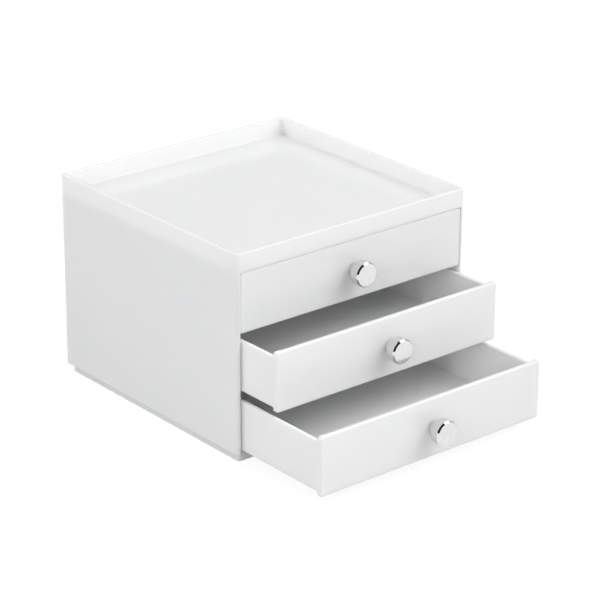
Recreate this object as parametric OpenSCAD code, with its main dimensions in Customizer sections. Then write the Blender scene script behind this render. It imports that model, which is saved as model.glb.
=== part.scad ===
// Stackable three-drawer box for a desk or a craft room: a moulded casing with a tray on top and
// a stepped base, three pull-out drawers, and a round knob screwed on to each drawer front.
// Millimetres. The origin is the middle of the underside, +Z is up, and the drawers pull to -Y.

/* [Casing] */
// Width of the casing
case_w = 165; // [150:1:200]
// Depth of the casing from the closed drawer fronts to the back
case_d = 164; // [150:1:200]
// Height of the casing from the desk to the top of the tray rim
case_h = 124; // [118:1:160]
// Thickness of the outer walls and of the tray rim
wall = 2.2; // [1.8:0.1:2.6]
// Thickness of the shelves, the tray floor and the bottom floor
shelf_t = 2; // [1.6:0.1:2.4]
// Radius of the upright outer corners
case_corner_r = 2.4; // [1.2:0.1:4]
// Radius that softens the rim, the lower edge and the ends of the walls
case_edge_r = 0.7; // [0.3:0.1:0.9]

/* [Tray top] */
// Depth of the tray below its rim
tray_depth = 10.2; // [8:0.1:10.4]
// Height of the band between the rim and the top drawer
band_h = 11.1; // [11:0.1:15]
// Radius of the tray's upright inner corners
tray_corner_r = 2.4; // [1.6:0.1:5]
// Radius where the tray floor meets the rim
tray_fillet_r = 1.4; // [0.8:0.1:2]

/* [Base] */
// Height of the stepped base, which sits inside the rim of a box below
plinth_h = 5.1; // [4:0.1:8]
// How far the base steps in from the casing on every side
plinth_inset = 2.8; // [2.5:0.1:4]

/* [Drawers] */
// How far the top drawer is pulled out
open_top = 0; // [0:1:120]
// How far the middle drawer is pulled out
open_middle = 31; // [0:1:120]
// How far the bottom drawer is pulled out
open_bottom = 68; // [0:1:120]
// Length of a drawer from its face to its rear wall
drawer_d = 158; // [120:1:158]
// Gap between two drawer fronts
front_gap = 0.4; // [0.4:0.1:1]
// Gap at each side of a drawer front
side_gap = 0.3; // [0.3:0.1:1]
// Thickness of the drawer front where it is a plain wall
front_t = 2.6; // [2:0.1:3.4]
// How far the lip round the front reaches back past its plain wall
lip_reach = 0.8; // [0.6:0.1:4]
// How far the lip stands out from the drawer's side walls
lip_over = 0.6; // [0.5:0.1:2.5]
// How far the front reaches below the drawer's floor
front_drop = 1.8; // [0.6:0.1:2.4]
// How far the side walls stop short of the top of the front
side_drop = 3.5; // [3:0.1:8]
// Radius of the front's two upper corners, seen from the front
front_corner_r = 2.2; // [1.4:0.1:5]
// Radius of the front's two lower corners
front_low_corner_r = 1.4; // [1.4:0.1:4]
// Radius that softens the face of the front
front_edge_r = 1.1; // [0.5:0.1:1.1]
// Thickness of the drawer's sides, rear wall and floor
drawer_wall = 2.4; // [1.6:0.1:2.6]
// Radius of the drawer's upright corners
drawer_corner_r = 3; // [2.8:0.1:6]
// Radius where the drawer's floor meets its walls, outside
drawer_keel_r = 1; // [0.8:0.1:2]

/* [Knobs] */
// Diameter of the knob's head
knob_head_dia = 14.8; // [12:0.1:18]
// Thickness of the knob's head
knob_head_t = 6.3; // [4:0.1:9]
// Bevel between the knob's face and its side
knob_chamfer = 0.9; // [0.4:0.1:1.5]
// Diameter of the knob's neck
knob_neck_dia = 8; // [6.4:0.1:9]
// Length of the neck between the drawer front and the head
knob_neck_l = 5; // [2:0.1:8]
// Diameter of the screw that holds the knob
screw_dia = 4; // [3:0.5:4]

/* [Hidden] */
$fn = 64;
eps = 0.01;

// Running clearance between a drawer and what it slides on
slide_gap = 0.3;
// Clearance between the lip of a closed drawer and the front edges of the shelves
lip_gap = 0.5;
// Height of the bottom drawer's front above the base, less half a front gap
sill_gap = 0.8;
// Overshoot of a cut beyond the face that it opens
over = 1;
// Radius of an edge that the mould leaves nearly sharp
crisp_r = 0.1;

// Casing
front_y = -case_d / 2;
bay_w = case_w - 2 * wall;
bay_back_y = case_d / 2 - wall;
lip_d = front_t + lip_reach;
shelf_front_y = front_y + lip_d + lip_gap;
tray_z = case_h - tray_depth;
band_z = case_h - band_h;
plinth_w = case_w - 2 * plinth_inset;
plinth_d = case_d - 2 * plinth_inset;
mouth_r = 0.6;
bay_corner_r = 1.5;

// Drawer fronts: three equal ones share the height between the base and the band
front_low_z = plinth_h + sill_gap;
front_pitch = (band_z - front_low_z) / 3;
front_w = bay_w - 2 * side_gap;
front_h = front_pitch - front_gap;
body_w = front_w - 2 * lip_over;
body_h = front_h - front_drop - side_drop;
// Depth inside the front at which the drawer's body starts
body_start = 1;
// Radius of the lip's rear edge
lip_back_r = 0.4;
// How much rounder the inside corners are than walls of even thickness would leave them
corner_fill = 0.4;

// Surface that each drawer slides on, from the bottom drawer up
slide_z = [for (i = [0 : 2]) front_low_z + i * front_pitch + front_gap / 2 + front_drop - slide_gap];
// Underside of whatever is above each drawer
roof_z = [slide_z[1] - shelf_t, slide_z[2] - shelf_t, tray_z - shelf_t];

// Knob and screw: the threads go through the neck and a little way into the head
knob_back_r = 0.8;
head_bite = 1;
screw_bite = knob_neck_l + head_bite;
screw_end_gap = 0.5;
screw_clear = 0.3;
screw_head_dia = 2 * screw_dia;
screw_head_t = 0.6 * screw_dia;
screw_head_low_r = 0.2;
screw_head_crown_r = 0.45 * screw_head_t;
screw_slot_l = 0.6 * screw_head_dia;
screw_slot_w = 0.2 * screw_dia;

// The quarter of a circle on the right of its centre, above it or, with y_sign = -1, below it
module quarter(r, y_sign) {
    intersection() {
        circle(r);
        translate([0, y_sign > 0 ? 0 : -r]) square(r);
    }
}

// A rectangle that starts at x = 0 and has its two outer corners rounded, bottom and top
module half_section(w, h, low_r, high_r) {
    translate([0, low_r]) square([w, h - low_r - high_r]);
    square([w - low_r, h / 2]);
    translate([0, h / 2]) square([w - high_r, h / 2]);
    translate([w - low_r, low_r]) quarter(low_r, -1);
    translate([w - high_r, h - high_r]) quarter(high_r, 1);
}

// The same on both sides of x = 0
module full_section(w, h, low_r, high_r) {
    half_section(w / 2, h, low_r, high_r);
    mirror([1, 0]) half_section(w / 2, h, low_r, high_r);
}

// A block on z = 0 with round upright corners and softened lower and upper edges
module soft_block(w, d, h, corner_r, low_r, high_r) {
    for (x = [-1, 1], y = [-1, 1])
        translate([x * (w / 2 - corner_r), y * (d / 2 - corner_r), 0])
            rotate_extrude() half_section(corner_r, h, low_r, high_r);
    rotate([90, 0, 90]) linear_extrude(w - 2 * corner_r, center = true)
        full_section(d, h, low_r, high_r);
    rotate([90, 0, 0]) linear_extrude(d - 2 * corner_r, center = true)
        full_section(w, h, low_r, high_r);
}

// What a cut takes from a sharp inner edge to round it: x runs outwards, y = 0 is the top
module edge_cut(r) {
    difference() {
        translate([-eps, -r]) square([r + eps, r + over]);
        translate([r, -r]) circle(r);
        translate([r, -r]) square([over, r]);
    }
}

// Rounds the mouth of a recess of this width, depth and corner radius, with its top at z = 0
module mouth_cut(w, d, corner_r, r) {
    for (x = [-1, 1], y = [-1, 1])
        translate([x * (w / 2 - corner_r), y * (d / 2 - corner_r), 0])
            rotate_extrude() translate([corner_r, 0]) edge_cut(r);
    for (side = [0, 1]) mirror([side, 0, 0])
        translate([w / 2, 0, 0]) rotate([90, 0, 0])
            linear_extrude(d - 2 * corner_r, center = true) edge_cut(r);
    for (side = [0, 1]) mirror([0, side, 0])
        translate([0, d / 2, 0]) rotate([90, 0, 90])
            linear_extrude(w - 2 * corner_r, center = true) edge_cut(r);
}

// One bay behind the drawer fronts, with its two back corners rounded
module bay(i) {
    d = bay_back_y - shelf_front_y + over;
    translate([0, bay_back_y - d, slide_z[i]]) linear_extrude(roof_z[i] - slide_z[i]) {
        translate([-bay_w / 2, 0]) square([bay_w, d - bay_corner_r]);
        translate([-bay_w / 2 + bay_corner_r, 0]) square([bay_w - 2 * bay_corner_r, d]);
        for (x = [-1, 1])
            translate([x * (bay_w / 2 - bay_corner_r), d - bay_corner_r]) circle(bay_corner_r);
    }
}

module casing() {
    color("whitesmoke") difference() {
        union() {
            translate([0, 0, plinth_h])
                soft_block(case_w, case_d, case_h - plinth_h, case_corner_r, case_edge_r, case_edge_r);
            soft_block(plinth_w, plinth_d, slide_z[0], case_corner_r, case_edge_r, case_edge_r);
        }
        // tray
        translate([0, 0, tray_z])
            soft_block(bay_w, case_d - 2 * wall, tray_depth + over, tray_corner_r, tray_fillet_r, crisp_r);
        translate([0, 0, case_h]) mouth_cut(bay_w, case_d - 2 * wall, tray_corner_r, mouth_r);
        // bays
        for (i = [0 : 2]) bay(i);
        // the space that the closed drawer fronts fill, which also thins the tray floor's front edge
        translate([-bay_w / 2, front_y - over, plinth_h])
            cube([bay_w, shelf_front_y - front_y + over + eps, band_z - plinth_h]);
        // underside: the floor stands on the base's ring, and steps down under the bottom drawer
        step_y = shelf_front_y + wall;
        inner_w = plinth_w - 2 * wall;
        inner_d = plinth_d - 2 * wall;
        low_h = plinth_h - shelf_t + over;
        high_h = slide_z[0] - shelf_t + over;
        translate([0, 0, -over])
            soft_block(inner_w, inner_d, low_h, case_corner_r, crisp_r, crisp_r);
        intersection() {
            translate([0, 0, -over])
                soft_block(inner_w, inner_d, high_h, case_corner_r, crisp_r, crisp_r);
            translate([-case_w / 2, step_y, -over]) cube([case_w, case_d, case_h]);
        }
    }
}

// The plate of a drawer front, lying on its face with its top towards -y. Its upper half has rounder
// corners than its lower half.
module front_plate() {
    for (half = [[-front_h, front_corner_r], [0, front_low_corner_r]])
        intersection() {
            soft_block(front_w, front_h, lip_d, half[1], front_edge_r, lip_back_r);
            translate([-front_w, half[0], -over]) cube([2 * front_w, front_h, lip_d + 2 * over]);
        }
}

// The block that a drawer is hollowed from. Its front end is cut square inside the drawer front.
module drawer_body(z) {
    length = drawer_d + drawer_corner_r;
    intersection() {
        translate([0, front_y + drawer_d - length / 2, z])
            soft_block(body_w, length, body_h, drawer_corner_r, drawer_keel_r, mouth_r);
        translate([-body_w, front_y + body_start, z - over])
            cube([2 * body_w, length, body_h + 2 * over]);
    }
}

// One drawer in its closed place. i counts up from the bottom.
module drawer(i) {
    low_z = front_low_z + i * front_pitch + front_gap / 2;
    hollow_d = drawer_d - front_t - drawer_wall;
    hollow_w = body_w - 2 * drawer_wall;
    hollow_y = front_y + front_t + hollow_d / 2;
    floor_z = low_z + front_drop + drawer_wall;
    top_z = low_z + front_h;
    side_z = top_z - side_drop;
    inner_r = drawer_corner_r - drawer_wall + corner_fill;
    difference() {
        union() {
            translate([0, front_y, low_z + front_h / 2]) rotate([-90, 0, 0]) front_plate();
            difference() {
                drawer_body(low_z + front_drop);
                translate([0, hollow_y, side_z]) mouth_cut(hollow_w, hollow_d, inner_r, mouth_r);
            }
        }
        translate([0, hollow_y, floor_z])
            soft_block(hollow_w, hollow_d, front_h, inner_r, inner_r - eps, crisp_r);
        // the upper rear edge of the front, and the lip's two upper ends, which fall away behind it
        translate([0, front_y + front_t, top_z]) rotate([90, 0, -90])
            linear_extrude(hollow_w - 2 * inner_r, center = true) edge_cut(mouth_r);
        translate([0, front_y + lip_d, top_z]) rotate([90, 0, -90])
            linear_extrude(front_w + 2 * over, center = true) edge_cut(lip_reach);
        translate([0, front_y - over, low_z + front_h / 2]) rotate([-90, 0, 0])
            cylinder(d = screw_dia + screw_clear, h = lip_d + over);
    }
}

// Half the outline of a knob's head: a flat face, a bevel, a straight side and a rounded back edge
module knob_head_section() {
    head_r = knob_head_dia / 2;
    shoulder = knob_head_t - knob_chamfer;
    polygon([[0, knob_back_r], [head_r, knob_back_r], [head_r, shoulder],
             [head_r - knob_chamfer, knob_head_t], [0, knob_head_t]]);
    square([head_r - knob_back_r, shoulder]);
    translate([head_r - knob_back_r, knob_back_r]) quarter(knob_back_r, -1);
}

// The knob on drawer front i, closed
module knob(i) {
    mid_z = front_low_z + (i + 0.5) * front_pitch;
    translate([0, front_y, mid_z]) rotate([90, 0, 0]) difference() {
        rotate_extrude() {
            square([knob_neck_dia / 2, knob_neck_l + knob_back_r]);
            translate([0, knob_neck_l]) knob_head_section();
        }
        translate([0, 0, -over]) cylinder(d = screw_dia, h = screw_bite + over);
    }
}

// The pan-head screw that holds knob i from inside the drawer
module knob_screw(i) {
    mid_z = front_low_z + (i + 0.5) * front_pitch;
    translate([0, front_y + front_t, mid_z]) rotate([90, 0, 0]) difference() {
        union() {
            cylinder(d = screw_dia, h = front_t + screw_bite - screw_end_gap);
            rotate([180, 0, 0]) rotate_extrude()
                half_section(screw_head_dia / 2, screw_head_t, screw_head_low_r, screw_head_crown_r);
        }
        for (a = [0, 90]) rotate(a) translate([0, 0, -screw_head_t])
            cube([screw_slot_l, screw_slot_w, screw_head_t], center = true);
    }
}

module pulled(distance) {
    translate([0, -distance, 0]) children();
}

module bottom_drawer() { color("white") pulled(open_bottom) drawer(0); }
module middle_drawer() { color("white") pulled(open_middle) drawer(1); }
module top_drawer() { color("white") pulled(open_top) drawer(2); }
module bottom_knob() { color("silver") pulled(open_bottom) knob(0); }
module middle_knob() { color("silver") pulled(open_middle) knob(1); }
module top_knob() { color("silver") pulled(open_top) knob(2); }
module bottom_knob_screw() { color("darkgray") pulled(open_bottom) knob_screw(0); }
module middle_knob_screw() { color("darkgray") pulled(open_middle) knob_screw(1); }
module top_knob_screw() { color("darkgray") pulled(open_top) knob_screw(2); }

casing();
top_drawer();
middle_drawer();
bottom_drawer();
top_knob();
middle_knob();
bottom_knob();
top_knob_screw();
middle_knob_screw();
bottom_knob_screw();
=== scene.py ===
import bpy
import math
from mathutils import Matrix, Vector


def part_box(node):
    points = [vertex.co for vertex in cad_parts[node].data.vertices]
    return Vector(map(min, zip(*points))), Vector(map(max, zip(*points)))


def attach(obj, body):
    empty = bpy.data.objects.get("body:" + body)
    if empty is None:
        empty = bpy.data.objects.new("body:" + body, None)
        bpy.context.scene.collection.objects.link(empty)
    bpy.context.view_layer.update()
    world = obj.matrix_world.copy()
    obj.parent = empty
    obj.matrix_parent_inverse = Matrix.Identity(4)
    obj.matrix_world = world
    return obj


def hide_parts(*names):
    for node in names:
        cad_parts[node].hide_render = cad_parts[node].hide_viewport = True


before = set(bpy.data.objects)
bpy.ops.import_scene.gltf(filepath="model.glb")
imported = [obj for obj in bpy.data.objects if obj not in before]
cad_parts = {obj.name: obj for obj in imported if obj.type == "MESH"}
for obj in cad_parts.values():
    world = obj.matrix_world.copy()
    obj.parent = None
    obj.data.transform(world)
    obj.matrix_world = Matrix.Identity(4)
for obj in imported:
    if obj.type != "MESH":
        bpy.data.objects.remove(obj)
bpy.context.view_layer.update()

MM = 0.001
LEVELS = ("top", "middle", "bottom")

# Camera, solved from the casing's edges in the photograph
CAMERA_AZIMUTH = math.radians(-39.68)
CAMERA_ELEVATION = math.radians(22.62)
CAMERA_ROLL = math.radians(0.295)
CAMERA_AIM = Vector((-5.25, -41.59, 65.0)) * MM
CAMERA_DISTANCE = 1464.26 * MM
FOCAL_PIXELS = 2579.94
IMAGE_PIXELS = 600
SENSOR_MM = 36.0
CAMERA_REACH = 50

# Studio: a white sweep under a low sky and five soft boxes. Each box has the direction it shines
# from, its power in watts, and whether reflections show it.
FLOOR_SIZE = 12.0
FLOOR_PAPER = 0.58
FLOOR_SHADOW = 0.13
FLOOR_GLOW = 0.91
SKY_LEVEL = 0.29
ROOM_LEVEL = 0.62
ROOM_DARKEST = 0.03
ROOM_DARK_WAY = Vector((-0.50, -0.62, 0.60)).normalized()
ROOM_DARK_FROM = 0.55
ROOM_DARK_TO = 0.72
LAMP_DISTANCE = 3.0
LAMP_SIZE = 1.8
LAMPS = {"key": (Vector((0.49, -0.50, 0.72)), 17.5, True),
         "front": (Vector((0.20, -0.60, 0.77)), 22.5, False),
         "right": (Vector((0.75, -0.45, 0.48)), 19.5, False),
         "left": (Vector((-0.75, -0.50, 0.42)), 28.0, False),
         "back": (Vector((-0.50, 0.60, 0.62)), 32.0, False)}

# Noise in the materials: cells per metre, and the middle of its range, where most of its values lie
MOTTLE_SCALE = 22.0
RIPPLE_SCALE = 35.0
GLOSS_SCALE = 60.0
PLATE_WAVE_SCALE = 150.0
SMEAR_SCALE = 260.0
SPANGLE_SCALE = 900.0
SKIN_SCALE = 1400.0
NOISE_LOW = 0.3
NOISE_HIGH = 0.7

# Bumps: strength and height
RIPPLE_BUMP = (0.25, 0.4 * MM)
SKIN_BUMP = (0.12, 0.03 * MM)
PLATE_WAVE_BUMP = (0.06, 0.05 * MM)
SPANGLE_BUMP = (0.2, 0.03 * MM)

# Moulded plastic. The tints turn its shade into the two tones of its mottling.
CASING_SHADE = 0.93
DRAWER_SHADE = 0.96
PLASTIC_DARK_TINT = (0.985, 0.988, 0.992)
PLASTIC_LIGHT_TINT = (1.005, 1.004, 1.0)
PLASTIC_ROUGHNESS = (0.10, 0.18)
PLASTIC_IOR = 1.52
PLASTIC_SCATTER = 0.75
PLASTIC_SCATTER_TINT = (1.0, 0.95, 0.9)
PLASTIC_DEPTH = 3.0 * MM

# Chrome plate and zinc-plated steel
CHROME_TONES = ((0.74, 0.74, 0.75), (0.79, 0.79, 0.795))
CHROME_ROUGHNESS = (0.03, 0.08)
ZINC_TONES = ((0.46, 0.46, 0.47), (0.70, 0.70, 0.70))
ZINC_ROUGHNESS = (0.25, 0.45)

# Knob: what the frame's own box of each knob doesn't give
KNOB_NECK_RADIUS = 4.0 * MM
KNOB_NECK_LENGTH = 5.0 * MM
KNOB_CHAMFER = 0.9 * MM
KNOB_BACK_RADIUS = 0.8 * MM
KNOB_CREASE_RADIUS = 0.12 * MM
KNOB_HOLE_RADIUS = 2.0 * MM
KNOB_HOLE_DEPTH = 6.0 * MM
KNOB_SEGMENTS = 128
KNOB_BACK_STEPS = 8
KNOB_CREASE_STEPS = 4


def make_camera():
    azimuth, elevation = CAMERA_AZIMUTH, CAMERA_ELEVATION
    back = Vector((math.sin(azimuth) * math.cos(elevation),
                   -math.cos(azimuth) * math.cos(elevation),
                   math.sin(elevation)))
    level_right = Vector((0, 0, 1)).cross(back).normalized()
    level_up = back.cross(level_right)
    right = level_right * math.cos(CAMERA_ROLL) + level_up * math.sin(CAMERA_ROLL)
    up = level_up * math.cos(CAMERA_ROLL) - level_right * math.sin(CAMERA_ROLL)
    data = bpy.data.cameras.new("camera")
    data.sensor_width = SENSOR_MM
    data.lens = FOCAL_PIXELS / IMAGE_PIXELS * SENSOR_MM
    data.clip_end = CAMERA_REACH
    camera = bpy.data.objects.new("camera", data)
    turn = Matrix((right, up, back)).transposed().to_4x4()
    camera.matrix_world = Matrix.Translation(CAMERA_AIM + back * CAMERA_DISTANCE) @ turn
    bpy.context.scene.collection.objects.link(camera)
    bpy.context.scene.camera = camera


class Nodes:
    """A short way to add and join the nodes of one tree."""

    def __init__(self, tree):
        self.tree = tree
        tree.nodes.clear()

    def add(self, kind, values=None, **settings):
        node = self.tree.nodes.new(kind)
        for name, value in settings.items():
            setattr(node, name, value)
        for name, value in (values or {}).items():
            self.put(node, name, value)
        return node

    def put(self, node, name, value):
        socket = node.inputs[name]
        if isinstance(value, bpy.types.NodeSocket):
            self.tree.links.new(value, socket)
        else:
            socket.default_value = value

    def mix(self, fac, first, second):
        node = self.add("ShaderNodeMixShader", {"Fac": fac})
        self.tree.links.new(first, node.inputs[1])
        self.tree.links.new(second, node.inputs[2])
        return node.outputs["Shader"]


def new_material(name):
    material = bpy.data.materials.new(name)
    material.use_nodes = True
    return material, Nodes(material.node_tree)


def grey(level):
    return (level, level, level, 1)


def noise(n, place, scale, detail):
    return n.add("ShaderNodeTexNoise", {"Vector": place, "Scale": scale, "Detail": detail}).outputs["Fac"]


def two_tones(n, fac, low, high):
    """A colour ramp from one tone to another over the middle of a noise's range."""
    ramp = n.add("ShaderNodeValToRGB", {"Fac": fac})
    ramp.color_ramp.elements[0].position = NOISE_LOW
    ramp.color_ramp.elements[0].color = (*low, 1)
    ramp.color_ramp.elements[1].position = NOISE_HIGH
    ramp.color_ramp.elements[1].color = (*high, 1)
    return ramp.outputs["Color"]


def spread(n, value, low, high):
    """Maps the middle of a noise's range to low ... high."""
    return n.add("ShaderNodeMapRange", {"Value": value, "From Min": NOISE_LOW, "From Max": NOISE_HIGH,
                                        "To Min": low, "To Max": high}).outputs["Result"]


def bump(n, height, strength, distance, under=None):
    values = {"Height": height, "Strength": strength, "Distance": distance}
    if under is not None:
        values["Normal"] = under
    return n.add("ShaderNodeBump", values).outputs["Normal"]


def white_plastic(name, shade):
    """Glossy moulded plastic: faint mottling, uneven gloss and the slight ripple of a moulded skin."""
    material, n = new_material(name)
    place = n.add("ShaderNodeTexCoord").outputs["Object"]
    tone = two_tones(n, noise(n, place, MOTTLE_SCALE, detail=3.0),
                     [shade * part for part in PLASTIC_DARK_TINT],
                     [shade * part for part in PLASTIC_LIGHT_TINT])
    ripple = bump(n, noise(n, place, RIPPLE_SCALE, detail=1.0), *RIPPLE_BUMP)
    skin = bump(n, noise(n, place, SKIN_SCALE, detail=2.0), *SKIN_BUMP, ripple)
    shader = n.add("ShaderNodeBsdfPrincipled", {
        "Base Color": tone,
        "Roughness": spread(n, noise(n, place, GLOSS_SCALE, detail=4.0), *PLASTIC_ROUGHNESS),
        "IOR": PLASTIC_IOR,
        "Subsurface Weight": PLASTIC_SCATTER,
        "Subsurface Radius": PLASTIC_SCATTER_TINT,
        "Subsurface Scale": PLASTIC_DEPTH,
        "Normal": skin})
    n.add("ShaderNodeOutputMaterial", {"Surface": shader.outputs["BSDF"]})
    return material


def chrome():
    """Polished plate with faint smears."""
    material, n = new_material("chrome_plate")
    place = n.add("ShaderNodeTexCoord").outputs["Object"]
    smear = noise(n, place, SMEAR_SCALE, detail=3.0)
    shader = n.add("ShaderNodeBsdfPrincipled", {
        "Base Color": two_tones(n, smear, *CHROME_TONES),
        "Metallic": 1.0,
        "Roughness": spread(n, smear, *CHROME_ROUGHNESS),
        "Normal": bump(n, noise(n, place, PLATE_WAVE_SCALE, detail=1.0), *PLATE_WAVE_BUMP)})
    n.add("ShaderNodeOutputMaterial", {"Surface": shader.outputs["BSDF"]})
    return material


def zinc_steel():
    """Zinc plate with its spangle of lighter and darker grains."""
    material, n = new_material("zinc_steel")
    place = n.add("ShaderNodeTexCoord").outputs["Object"]
    spangle = noise(n, place, SPANGLE_SCALE, detail=3.0)
    shader = n.add("ShaderNodeBsdfPrincipled", {
        "Base Color": two_tones(n, spangle, *ZINC_TONES),
        "Metallic": 1.0,
        "Roughness": spread(n, spangle, *ZINC_ROUGHNESS),
        "Normal": bump(n, spangle, *SPANGLE_BUMP)})
    n.add("ShaderNodeOutputMaterial", {"Surface": shader.outputs["BSDF"]})
    return material


def any_ray(n, *kinds):
    """1 for a ray of one of these kinds, and 0 for any other."""
    light = n.add("ShaderNodeLightPath")
    found = light.outputs[kinds[0]]
    for kind in kinds[1:]:
        found = n.add("ShaderNodeMath", {0: found, 1: light.outputs[kind]},
                      operation="MAXIMUM").outputs["Value"]
    return found


def floor_material():
    """White sweep: seen at about full white, less the object's shadow, and darker in what it bounces."""
    material, n = new_material("white_sweep")
    seen = any_ray(n, "Is Camera Ray", "Is Glossy Ray", "Is Transmission Ray")
    paper = n.add("ShaderNodeBsdfDiffuse", {"Color": grey(FLOOR_PAPER)})
    shadow = n.add("ShaderNodeBsdfDiffuse", {"Color": grey(FLOOR_SHADOW)})
    glow = n.add("ShaderNodeEmission", {"Color": grey(1), "Strength": FLOOR_GLOW})
    both = n.add("ShaderNodeAddShader")
    n.tree.links.new(shadow.outputs["BSDF"], both.inputs[0])
    n.tree.links.new(glow.outputs["Emission"], both.inputs[1])
    surface = n.mix(seen, paper.outputs["BSDF"], both.outputs["Shader"])
    n.add("ShaderNodeOutputMaterial", {"Surface": surface})
    return material


def make_floor():
    mesh = bpy.data.meshes.new("floor")
    half = FLOOR_SIZE / 2
    mesh.from_pydata([(-half, -half, 0), (half, -half, 0), (half, half, 0), (-half, half, 0)],
                     [], [(0, 1, 2, 3)])
    floor = bpy.data.objects.new("floor", mesh)
    floor.data.materials.append(floor_material())
    bpy.context.scene.collection.objects.link(floor)


def make_world():
    world = bpy.data.worlds.new("studio")
    bpy.context.scene.world = world
    world.use_nodes = True
    n = Nodes(world.node_tree)
    way = n.add("ShaderNodeTexCoord").outputs["Generated"]
    # the unlit room behind the camera, which only reflections show
    towards = n.add("ShaderNodeVectorMath", {0: way, 1: ROOM_DARK_WAY}, operation="DOT_PRODUCT")
    room = n.add("ShaderNodeMapRange", {"Value": towards.outputs["Value"],
                                        "From Min": ROOM_DARK_FROM, "From Max": ROOM_DARK_TO,
                                        "To Min": ROOM_LEVEL, "To Max": ROOM_DARKEST},
                 interpolation_type="SMOOTHSTEP")

    def background(strength):
        return n.add("ShaderNodeBackground",
                     {"Color": grey(1), "Strength": strength}).outputs["Background"]

    unseen = n.mix(any_ray(n, "Is Glossy Ray"), background(SKY_LEVEL),
                   background(room.outputs["Result"]))
    seen = any_ray(n, "Is Camera Ray", "Is Transmission Ray")
    n.add("ShaderNodeOutputWorld", {"Surface": n.mix(seen, unseen, background(1.0))})


def make_lamp(name, way, watts, reflected):
    data = bpy.data.lights.new(name, "AREA")
    data.shape = "SQUARE"
    data.size = LAMP_SIZE
    data.energy = watts
    lamp = bpy.data.objects.new(name, data)
    way = way.normalized()
    lamp.location = CAMERA_AIM + way * LAMP_DISTANCE
    lamp.rotation_mode = "QUATERNION"
    lamp.rotation_quaternion = way.to_track_quat("Z", "Y")
    lamp.visible_glossy = reflected
    bpy.context.scene.collection.objects.link(lamp)


def dress(name, material):
    """Puts a material in the slots of a part's object, and leaves its mesh alone."""
    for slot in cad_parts[name].material_slots:
        slot.material = material


def arc(radius, reach, size, start, end, steps):
    """Points (radius, reach) on a circle of this size, from one angle to another in degrees."""
    turns = [math.radians(start + (end - start) * i / steps) for i in range(steps + 1)]
    return [(radius + size * math.cos(t), reach + size * math.sin(t)) for t in turns]


def crease(corner, before, after, size):
    """A corner of a profile, rounded by this size and held by a ring of points at each side of it."""
    steps = KNOB_CREASE_STEPS
    corner = Vector(corner)
    back = (Vector(before) - corner).normalized()
    ahead = (Vector(after) - corner).normalized()
    half = back.angle(ahead) / 2
    reach = size / math.tan(half)
    middle = corner + (back + ahead).normalized() * (size / math.sin(half))
    first, last = corner + back * reach - middle, corner + ahead * reach - middle
    turn = first.angle_signed(last)
    inner = [middle + Matrix.Rotation(-turn * i / steps, 2) @ first for i in range(steps + 1)]
    return [corner + back * (reach + size), *inner, corner + ahead * (reach + size)]


def knob_profile(head_radius, reach):
    """Points (radius, reach from the drawer front) of a turned knob, from its axis out and back."""
    face_radius = head_radius - KNOB_CHAMFER
    shoulder = reach - KNOB_CHAMFER
    neck_end = KNOB_NECK_LENGTH
    hole_end = (KNOB_HOLE_RADIUS, KNOB_HOLE_DEPTH)
    hole_mouth = (KNOB_HOLE_RADIUS, 0.0)
    neck_foot = (KNOB_NECK_RADIUS, 0.0)
    neck_top = (KNOB_NECK_RADIUS, neck_end)
    side_end = (head_radius, shoulder)
    face_edge = (face_radius, reach)
    back = arc(head_radius - KNOB_BACK_RADIUS, neck_end + KNOB_BACK_RADIUS, KNOB_BACK_RADIUS,
               -90, 0, KNOB_BACK_STEPS)
    size = KNOB_CREASE_RADIUS
    return [(0.0, KNOB_HOLE_DEPTH),
            *crease(hole_end, (0.0, KNOB_HOLE_DEPTH), hole_mouth, size),
            *crease(hole_mouth, hole_end, neck_foot, size),
            *crease(neck_foot, hole_mouth, neck_top, size),
            *crease(neck_top, neck_foot, back[0], size),
            *back,
            *crease(side_end, back[-1], face_edge, size),
            *crease(face_edge, side_end, (0.0, reach), size),
            (face_radius / 2, reach),
            (0.0, reach)]


def revolve(name, profile, foot):
    """A closed mesh of the profile turned about the line that leaves foot along -Y."""
    rims = profile[1:-1]
    count = KNOB_SEGMENTS
    points = []
    for radius, reach in rims:
        for i in range(count):
            turn = 2 * math.pi * i / count
            points.append(foot + Vector((radius * math.cos(turn), -reach, radius * math.sin(turn))))
    faces = [(row * count + i, row * count + (i + 1) % count,
              (row + 1) * count + (i + 1) % count, (row + 1) * count + i)
             for row in range(len(rims) - 1) for i in range(count)]
    last = (len(rims) - 1) * count
    first_pole, last_pole = len(points), len(points) + 1
    points += [foot + Vector((0, -profile[0][1], 0)), foot + Vector((0, -profile[-1][1], 0))]
    for i in range(count):
        faces.append((first_pole, (i + 1) % count, i))
        faces.append((last_pole, last + i, last + (i + 1) % count))
    mesh = bpy.data.meshes.new(name)
    mesh.from_pydata(points, [], faces)
    mesh.validate()
    mesh.shade_smooth()
    piece = bpy.data.objects.new(name, mesh)
    bpy.context.scene.collection.objects.link(piece)
    return piece


def make_knob(level, material):
    node = level + "_knob"
    low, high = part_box(node)
    foot = Vector(((low.x + high.x) / 2, high.y, (low.z + high.z) / 2))
    piece = revolve(level + "_turned_knob", knob_profile((high.x - low.x) / 2, high.y - low.y), foot)
    piece.data.materials.append(material)
    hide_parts(node)
    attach(piece, level + "_drawer")


make_camera()
make_floor()
make_world()
for lamp_name, (shines_from, power, reflected) in LAMPS.items():
    make_lamp(lamp_name, shines_from, power, reflected)

drawer_plastic = white_plastic("drawer_plastic", DRAWER_SHADE)
chrome_plate = chrome()
steel = zinc_steel()
dress("casing", white_plastic("casing_plastic", CASING_SHADE))
for level in LEVELS:
    dress(level + "_drawer", drawer_plastic)
    dress(level + "_knob_screw", steel)
    make_knob(level, chrome_plate)

bpy.context.scene.view_settings.view_transform = "Standard"
